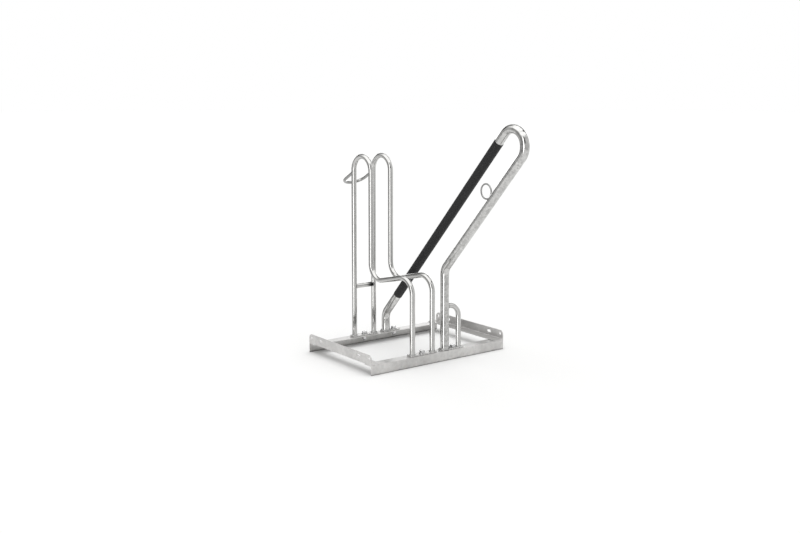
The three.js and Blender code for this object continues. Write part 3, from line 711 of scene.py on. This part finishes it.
def foot_plate(name, xs, front, bolt_x):
    yc = Y0 + BOLT_IN if front else Y1 - BOLT_IN
    xa, xb = xs
    ya, yb, r = yc - PLATE_W / 2, yc + PLATE_W / 2, PLATE_CORNER
    pts = arc(xb - r, ya + r, r, -90, 0, 8) + arc(xb - r, yb - r, r, 0, 90, 8) + arc(xa + r, yb - r, r, 90, 180, 8) + arc(xa + r, ya + r, r, 180, 270, 8)
    ob = to_object(name, fill_outline(pts, lambda p: (p[0], p[1], PLATE_LO), Vector((0, 0, PLATE_HI - PLATE_LO))))
    cut(ob, [rod_between("plate_hole", (bolt_x, yc, PLATE_LO - 5), (bolt_x, yc, PLATE_HI + 5), BOLT_HOLE_R)])
    return soften(ob, 0.5)


finish(foot_plate("holder_plate_front", HOLDER_PLATE, True, HOLDER_BOLT_X), PLATE, ["holder_foot_plate_front"])
finish(foot_plate("holder_plate_rear", HOLDER_PLATE, False, HOLDER_BOLT_X), PLATE, ["holder_foot_plate_rear"])

# ------------------------------------------------------------------ lean-on hoop
lean_dir = Vector((0, -1, LEAN_SLOPE)).normalized()
lean_side = Vector((0, LEAN_SLOPE, 1)).normalized()
lean_top_r = (LEAN_REAR_Z0 - LEAN_FRONT_Z0) / math.sqrt(1 + LEAN_SLOPE ** 2) / 2
mid_z0 = (LEAN_REAR_Z0 + LEAN_FRONT_Z0) / 2
bend_c = Vector((LEAN_X, LEAN_BEND_Y, mid_z0 - LEAN_SLOPE * LEAN_BEND_Y))
rear_top = bend_c + lean_side * lean_top_r + lean_dir * lean_top_r
front_top = bend_c - lean_side * lean_top_r + lean_dir * lean_top_r
rear_knee = Vector((LEAN_X, REAR_Y, LEAN_REAR_Z0 - LEAN_SLOPE * REAR_Y))
front_knee = Vector((LEAN_X, FRONT_Y, LEAN_FRONT_Z0 - LEAN_SLOPE * FRONT_Y))
route = stations([(LEAN_X, REAR_Y, FOOT_Z), rear_knee, rear_top, front_top, front_knee, (LEAN_X, FRONT_Y, FOOT_Z)],
                 [LEAN_FOOT_BEND, lean_top_r - 0.001, lean_top_r - 0.001, LEAN_FOOT_BEND])
lean = sweep("lean_hoop_tube", route, (1, 0, 0), LEAN_R - 0.09, LEAN_WALL, 72)
vent_dir = Vector((0, math.cos(math.radians(134)), math.sin(math.radians(134))))
vent = rod_between("vent", bend_c + vent_dir * (lean_top_r + 6), bend_c + vent_dir * (lean_top_r + 40), VENT_R, 40)
vent_back = rod_between("vent_back", bend_c + vent_dir * (lean_top_r + 6), bend_c + vent_dir * (lean_top_r + 15.2), VENT_R + 1.9, 40)
cut(lean, [vent, vent_back])
finish(lean, LEAN, ["lean_hoop"])
for part, y in (("front", FRONT_Y), ("rear", REAR_Y)):
    finish(foot_bead("lean_%s_weld" % part, LEAN_X, y, LEAN_R, 3.4, seed=7 + y), WELD)

sleeve_base = rear_knee + lean_dir * (LEAN_FOOT_BEND * math.tan(math.atan(1 / LEAN_SLOPE) / 2) + SLEEVE_START)
ro, ri, L = SLEEVE_R, SLEEVE_IN, SLEEVE_L
profile = [(ri, 0.2), (ri + 0.2, 0.0)]
profile += [(ro - 0.45 + 0.45 * math.sin(a), 0.45 - 0.45 * math.cos(a)) for a in [math.radians(90 * i / 6) for i in range(7)]]
profile += [(ro, L * i / 24) for i in range(1, 24)]
profile += [(ro - 0.45 + 0.45 * math.cos(a), L - 0.45 + 0.45 * math.sin(a)) for a in [math.radians(90 * i / 6) for i in range(7)]]
profile += [(ri + 0.2, L), (ri, L - 0.2)]
finish(lathe("protective_sleeve_moulding", profile, sleeve_base, lean_dir, 96, angle=50), BLACK, ["protective_sleeve"])


def eyelet():
    big, r, c = (EYE_OUT - EYE_ROD) / 2, EYE_ROD / 2, Vector((LEAN_X, EYE_Y, EYE_Z))
    n, m = 120, 32
    bm = bmesh.new()
    rings = []
    for i in range(n):
        a = 2 * math.pi * i / n
        e = Vector((0, math.cos(a), math.sin(a)))
        rings.append([bm.verts.new(c + e * (big + r * math.cos(2 * math.pi * j / m)) + Vector((r * math.sin(2 * math.pi * j / m), 0, 0))) for j in range(m)])
    for i in range(n):
        for j in range(m):
            a, b = rings[i], rings[(i + 1) % n]
            bm.faces.new((a[j], a[(j + 1) % m], b[(j + 1) % m], b[j]))
    return to_object("lock_eyelet_ring", bm, 60)


ring = eyelet()
leg_rod = rod_between("leg_cut", front_knee + lean_dir * 60, front_knee + lean_dir * 600, LEAN_R, 96)
cut(ring, [leg_rod])
finish(ring, THIN, ["lock_eyelet"])

# the eyelet lies along the leg: one weld on each side of it, in the groove between the bar and the tube
axis_point = front_knee
to_eye = Vector((LEAN_X, EYE_Y, EYE_Z)) - axis_point
along = to_eye.dot(lean_dir)
away = (to_eye - lean_dir * along).normalized()
touch = axis_point + lean_dir * along
for k, sx in enumerate((1, -1)):
    path, n = [], 70
    for i in range(n + 1):
        s = -12.5 + 25.0 * i / n
        big = (EYE_OUT - EYE_ROD) / 2
        lift = big - math.sqrt(max(0.0, big * big - s * s))
        tilt = math.asin(min(1.0, 3.1 / LEAN_R))
        radial = away * math.cos(tilt) + Vector((sx, 0, 0)) * math.sin(tilt)
        p = touch + lean_dir * s + radial * (LEAN_R - 0.15)
        tangent = Vector((sx, 0, 0)) * math.cos(tilt) - away * math.sin(tilt)
        path.append((p, tangent, away))
    finish(bead("eyelet_weld_%d" % k, path, 2.5, closed=False, taper=5.0, seed=9.0 + k), WELD)

brace_leg = ((LEAN_X, FRONT_Y, BRACE_Z), (0, 0, 1), LEAN_R)
route = stations([(LEAN_X + 22, FRONT_Y, BRACE_Z), (BRACE_X, FRONT_Y, BRACE_Z), (BRACE_X, FRONT_Y, FOOT_Z)], [BRACE_BEND], straight=8.0)
finish(sweep("side_brace_tube", route, (0, 1, 0), TUBE_R, TUBE_WALL, 56, cope_start=brace_leg), TUBE, ["side_brace"])
finish(branch_bead("brace_top_weld", (LEAN_X + 24, FRONT_Y, BRACE_Z), (-1, 0, 0), TUBE_R, *brace_leg, size=2.6, seed=12.0), WELD)
finish(foot_bead("brace_foot_weld", BRACE_X, FRONT_Y, TUBE_R, 2.9, seed=13.0), WELD)
finish(foot_plate("lean_plate_front", LEAN_PLATE_F, True, LEAN_BOLT_X), PLATE, ["lean_foot_plate_front"])
finish(foot_plate("lean_plate_rear", LEAN_PLATE_R, False, LEAN_BOLT_X), PLATE, ["lean_foot_plate_rear"])


# ------------------------------------------------------------------ fasteners
def hex_radius(theta, spin):
    """Distance from the axis to the side of a hexagon, its corners slightly rounded."""
    a = (theta - spin) % (math.pi / 3)
    flat = (HEAD_AF / 2) / math.cos(a - math.pi / 6)
    return min(flat, HEAD_AF / math.sqrt(3) * 0.985)


def hex_piece(name, base, height, spin, hole, both_ends):
    """A hexagon with its corners chamfered by a 30 degree cone at the top, or at both ends."""
    t30 = math.tan(math.radians(30))
    flat_r = HEAD_AF / 2 * 0.95

    def shape(theta, r, h):
        if r > 1000:
            rr = hex_radius(theta, spin)
            drop = max(0.0, rr - flat_r) * t30
            return rr, (height - drop if h > 0 else (drop if both_ends else 0.0))
        return r, h

    inner = hole if hole else 0.0
    profile = []
    if both_ends:
        profile += [(inner + 0.7, 0.0), (flat_r, 0.0), (2000, 0.0), (2000, 1.0), (flat_r, height), (inner + 0.7, height), (inner, height - 0.7), (inner, 0.7)]
    else:
        profile += [(0.0, 0.0), (flat_r, 0.0), (2000, 0.0), (2000, 1.0), (flat_r, height), (flat_r * 0.72, height), (flat_r * 0.70, height - 0.12), (0.0, height - 0.12)]
    return lathe(name, profile, base, (0, 0, 1), 144, closed=bool(hole), angle=18.0, ring_shape=shape)


def threaded(name, x, y, z_low, z_high):
    """Shank with a real helical thread and a chamfered tip."""
    pitch, depth, sides, step = 1.75, 0.95, 40, 0.25
    rows = int((z_high - z_low) / step)
    bm = bmesh.new()
    rings = []
    for j in range(rows + 1):
        z = z_low + (z_high - z_low) * j / rows
        ring_v = []
        for i in range(sides):
            a = 2 * math.pi * i / sides
            f = (z / pitch - i / sides) % 1.0
            tri = abs(2 * f - 1)
            r = BOLT_R - depth * min(1.0, max(0.0, 1.15 * (1 - tri) - 0.08))
            tip = (z - z_low) / 1.4
            if tip < 1:
                r = min(r, BOLT_R - 1.1 + 1.1 * tip)
            ring_v.append(bm.verts.new((x + r * math.cos(a), y + r * math.sin(a), z)))
        rings.append(ring_v)
    for a, b in zip(rings, rings[1:]):
        for i in range(sides):
            j = (i + 1) % sides
            bm.faces.new((a[i], a[j], b[j], b[i]))
    bm.faces.new(rings[0][::-1])
    bm.faces.new(rings[-1])
    return to_object(name, bm, 50)


def washer(name, x, y, z):
    t, e = WASHER_T, 0.3
    profile = [(WASHER_IN, e), (WASHER_IN + e, 0), (WASHER_OUT - e, 0), (WASHER_OUT - e * 0.3, e * 0.3), (WASHER_OUT, e),
               (WASHER_OUT, t - e), (WASHER_OUT - e * 0.3, t - e * 0.3), (WASHER_OUT - e, t), (WASHER_IN + e, t), (WASHER_IN, t - e)]
    return lathe(name, profile, (x, y, z), (0, 0, 1), 72, angle=40)


def join(name, parts):
    """Several meshes of one physical piece, as one object."""
    bm = bmesh.new()
    for p in parts:
        bm.from_mesh(p.data)
    for p in parts:
        me = p.data
        bpy.data.objects.remove(p)
        bpy.data.meshes.remove(me)
    return to_object(name, bm, 35, scale=False)


under = RAIL_TOP - SHEET
for tag, x, y, turn in (("holder_front", HOLDER_BOLT_X, Y0 + BOLT_IN, 0.2), ("holder_rear", HOLDER_BOLT_X, Y1 - BOLT_IN, 0.9),
                        ("lean_front", LEAN_BOLT_X, Y0 + BOLT_IN, 0.5), ("lean_rear", LEAN_BOLT_X, Y1 - BOLT_IN, 1.3)):
    head_z = 44.5
    head = hex_piece("head", (x, y, head_z), HEAD_H, math.pi / 6 + turn, 0.0, False)
    shank = threaded("shank", x, y, 14.5, head_z + 0.4)
    finish(join("bolt_%s_threaded" % tag, [head, shank]), BOLT, ["bolt_" + tag])
    finish(washer("head_washer_%s_disc" % tag, x, y, 42.0 - 0.05), BOLT, ["head_washer_" + tag])
    finish(washer("nut_washer_%s_disc" % tag, x, y, under - 2.5), BOLT, ["nut_washer_" + tag])
    finish(hex_piece("nut_%s_hexagon" % tag, (x, y, under - 2.5 - 10.4), NUT_H, math.pi / 6 + turn + 0.3, 6.0, True), BOLT, ["nut_" + tag])

# ------------------------------------------------------------------ floor, light and surroundings
bm = bmesh.new()
bmesh.ops.create_circle(bm, cap_ends=True, segments=128, radius=30.0)
floor_mesh = bpy.data.meshes.new("floor")
bm.to_mesh(floor_mesh)
bm.free()
floor = bpy.data.objects.new("floor", floor_mesh)
bpy.context.scene.collection.objects.link(floor)
floor.location = (0, 0, -0.0002)
paint = bpy.data.materials.new("pale_floor")
paint.use_nodes = True
fb = paint.node_tree.nodes["Principled BSDF"]
fb.inputs["Base Color"].default_value = (0.86, 0.86, 0.855, 1)
fb.inputs["Roughness"].default_value = 0.9
fb.inputs["Specular IOR Level"].default_value = 0.0
floor_mesh.materials.append(paint)
floor.visible_glossy = False
# polished steel mirrors the floor only close by; further off it mirrors the studio
bm = bmesh.new()
for xa, xb, ya, yb in ((X0 - 60, X1 + 60, Y0 - 60, Y0 + 70), (X0 - 60, X1 + 60, Y1 - 75, Y1 + 60), (X0 - 60, X0 + 70, Y0 + 70, Y1 - 75), (X1 - 75, X1 + 60, Y0 + 70, Y1 - 75)):
    bm.faces.new([bm.verts.new(place((x, y, 0.0))) for x, y in ((xa, ya), (xb, ya), (xb, yb), (xa, yb))])
near_mesh = bpy.data.meshes.new("floor_near")
bm.to_mesh(near_mesh)
bm.free()
near = bpy.data.objects.new("floor_near", near_mesh)
bpy.context.scene.collection.objects.link(near)
near.location = (0, 0, -0.0001)
near_mesh.materials.append(paint)
near.visible_camera = near.visible_diffuse = near.visible_shadow = near.visible_transmission = False
SOFT_LIGHT = 0.80


def lamp_object(name, kind, location, target, **values):
    data = bpy.data.lights.new(name, kind)
    for k, v in values.items():
        setattr(data, k, v)
    ob = bpy.data.objects.new(name, data)
    bpy.context.scene.collection.objects.link(ob)
    ob.location = location
    ob.rotation_euler = (Vector(target) - Vector(location)).to_track_quat("-Z", "Y").to_euler()
    ob.visible_camera = ob.visible_glossy = False
    return ob


lamp_object("ceiling", "SUN", (0, 0.17, 3), (0, 0.17, 0), energy=1.22, angle=math.radians(62))
lamp_object("low_left", "AREA", (-1.15, 0.17, 0.06), (-0.3, 0.17, 0.055), energy=0.45, shape="RECTANGLE", size=1.1, size_y=0.05, spread=math.radians(50))

world = bpy.data.worlds.new("studio")
bpy.context.scene.world = world
world.use_nodes = True
wt = world.node_tree
wt.nodes.clear()


def calc(op, a, b=None, c=None, clamp=False):
    """One Math node of the world; a, b and c are numbers or sockets."""
    n = node(wt, "ShaderNodeMath", 0, 0, operation=op)
    n.use_clamp = clamp
    for i, v in enumerate((a, b, c)):
        if v is None:
            continue
        if isinstance(v, (int, float)):
            n.inputs[i].default_value = v
        else:
            wt.links.new(v, n.inputs[i])
    return n.outputs[0]


def step(x, lo, hi, a, b):
    """Smooth change from a to b while x goes from lo to hi."""
    n = ramp(wt, 0, 0, lo, hi, a, b)
    n.interpolation_type = "SMOOTHSTEP"
    wt.links.new(x, n.inputs[0])
    return n.outputs[0]


# Bearing of each direction, in degrees from the line between object and camera: negative to the left of the picture.
CAMERA_BEARING = 232.6
sky = node(wt, "ShaderNodeTexCoord", 0, 0)
xyz = node(wt, "ShaderNodeSeparateXYZ", 0, 0)
wt.links.new(sky.outputs["Generated"], xyz.inputs[0])
bearing = calc("MULTIPLY", calc("ARCTAN2", xyz.outputs[1], xyz.outputs[0]), 180 / math.pi)
psi = calc("SUBTRACT", calc("FLOORED_MODULO", calc("SUBTRACT", bearing, CAMERA_BEARING - 180.0), 360.0), 180.0)
rise = calc("MULTIPLY", calc("ARCSINE", xyz.outputs[2]), 180 / math.pi)

# round the horizon: a dark backdrop on the left, a tall narrow lamp in front of it, pale on the right and behind
backdrop = calc("MULTIPLY", step(psi, -178.0, -162.0, 0.0, 1.0), step(psi, -140.0, -112.0, 1.0, 0.25))
backdrop = calc("MULTIPLY", backdrop, step(psi, -66.0, -44.0, 1.0, 0.0))
backdrop = calc("MULTIPLY", backdrop, step(rise, -11.5, -4.0, 0.0, 0.78))
wide = calc("MULTIPLY", step(psi, -108.0, -90.0, 0.0, 1.0), step(psi, -56.0, -46.0, 1.0, 0.0))
wide = calc("MULTIPLY", wide, step(rise, -12.5, -9.0, 0.0, 0.48))
narrow = calc("MULTIPLY", step(psi, -64.0, -56.0, 0.0, 1.0), step(psi, -46.0, -38.0, 1.0, 0.0))
shade = calc("MAXIMUM", wide, calc("MULTIPLY", narrow, 0.42))
front_left = step(psi, -40.0, 60.0, 0.86, 1.0)
around = calc("MULTIPLY", front_left, calc("SUBTRACT", 1.0, calc("MAXIMUM", backdrop, shade)))
around = calc("ADD", around, step(psi, 60.0, 150.0, 0.0, 0.22))
lamp = calc("MULTIPLY", step(psi, -40.0, -37.0, 0.0, 1.0), step(psi, -25.0, -22.0, 1.0, 0.0))
lamp = calc("MULTIPLY", lamp, step(rise, 38.0, 50.0, 1.0, 0.0))
around = calc("ADD", around, calc("MULTIPLY", lamp, 4.6))
# a pale strip at the far side, level with the eye
ahead = calc("ABSOLUTE", psi)
strip = calc("MULTIPLY", step(ahead, 140.0, 165.0, 0.0, 1.0), calc("MULTIPLY", step(rise, -3.0, 3.0, 0.0, 1.0), step(rise, 11.0, 17.0, 1.0, 0.0)))
around = calc("ADD", around, calc("MULTIPLY", strip, 2.6))
# the floor's glow low on the left
glow = calc("MULTIPLY", step(psi, -120.0, -100.0, 0.0, 0.35), step(psi, -70.0, -55.0, 1.0, 0.0))
around = calc("ADD", around, calc("MULTIPLY", glow, step(rise, -17.0, -12.0, 1.0, 0.0)))
# below: the pale floor; above: a broad soft ceiling light, weaker low on the right and ending short of the far wall
low = step(rise, -30.0, -13.0, 1.0, 0.0)
high = step(rise, 16.0, 40.0, 0.0, 1.0)
mid = calc("SUBTRACT", 1.0, calc("ADD", low, high))
side = calc("MULTIPLY", calc("MULTIPLY", step(psi, -10.0, 30.0, 0.0, 1.0), step(psi, 88.0, 104.0, 1.0, 0.0)), step(rise, 44.0, 54.0, 1.0, 0.0))
gloss_light = calc("ADD", calc("MULTIPLY", around, mid), calc("ADD", calc("MULTIPLY", low, 1.22), calc("MULTIPLY", high, calc("SUBTRACT", 2.1, side))))
wall = calc("MULTIPLY", step(ahead, 103.0, 135.0, 0.0, 0.76), calc("MULTIPLY", step(rise, 9.0, 17.0, 0.0, 1.0), step(rise, 46.0, 62.0, 1.0, 0.0)))
gloss_light = calc("MULTIPLY", gloss_light, calc("SUBTRACT", 1.0, wall))
# a dark opening over the camera, right of the tall lamp
opening = calc("MULTIPLY", step(psi, -24.0, -15.0, 0.0, 0.80), step(psi, 8.0, 28.0, 1.0, 0.0))
opening = calc("MULTIPLY", opening, calc("MULTIPLY", step(rise, 8.0, 17.0, 0.0, 1.0), step(rise, 38.0, 50.0, 1.0, 0.0)))
gloss_light = calc("MULTIPLY", gloss_light, calc("SUBTRACT", 1.0, opening))

paths = node(wt, "ShaderNodeLightPath", 0, 0)
# light that reaches the floor by way of the metal: the metal's underside really sees the shaded floor
gloss_light = calc("MULTIPLY", gloss_light, step(paths.outputs["Diffuse Depth"], 0.0, 1.0, 1.0, 0.70))
mirrored = node(wt, "ShaderNodeBackground", 0, 0)
wt.links.new(gloss_light, mirrored.inputs[1])
soft = node(wt, "ShaderNodeBackground", 0, 0)
# the soft light is stronger from the right, so the shadows lean to the left; its sum over the sky stays the same
lean_right = calc("MULTIPLY", calc("COSINE", calc("MULTIPLY", calc("SUBTRACT", psi, 104.0), math.pi / 180)), calc("COSINE", calc("MULTIPLY", rise, math.pi / 180)))
wt.links.new(calc("MULTIPLY", calc("ADD", calc("MULTIPLY", lean_right, 0.30), 1.0), SOFT_LIGHT), soft.inputs[1])
seen = node(wt, "ShaderNodeBackground", 0, 0)
seen.inputs[1].default_value = 1.0
for n in (mirrored, soft, seen):
    n.inputs[0].default_value = (1, 1, 1, 1)
first = node(wt, "ShaderNodeMixShader", 0, 0)
wt.links.new(paths.outputs["Is Glossy Ray"], first.inputs[0])
wt.links.new(soft.outputs[0], first.inputs[1])
wt.links.new(mirrored.outputs[0], first.inputs[2])
second = node(wt, "ShaderNodeMixShader", 0, 0)
wt.links.new(paths.outputs["Is Camera Ray"], second.inputs[0])
wt.links.new(first.outputs[0], second.inputs[1])
wt.links.new(seen.outputs[0], second.inputs[2])
wout = node(wt, "ShaderNodeOutputWorld", 0, 0)
wt.links.new(second.outputs[0], wout.inputs[0])
world.cycles.sampling_method = "NONE"

bpy.context.scene.view_settings.view_transform = "Standard"
bpy.context.scene.view_settings.look = "None"
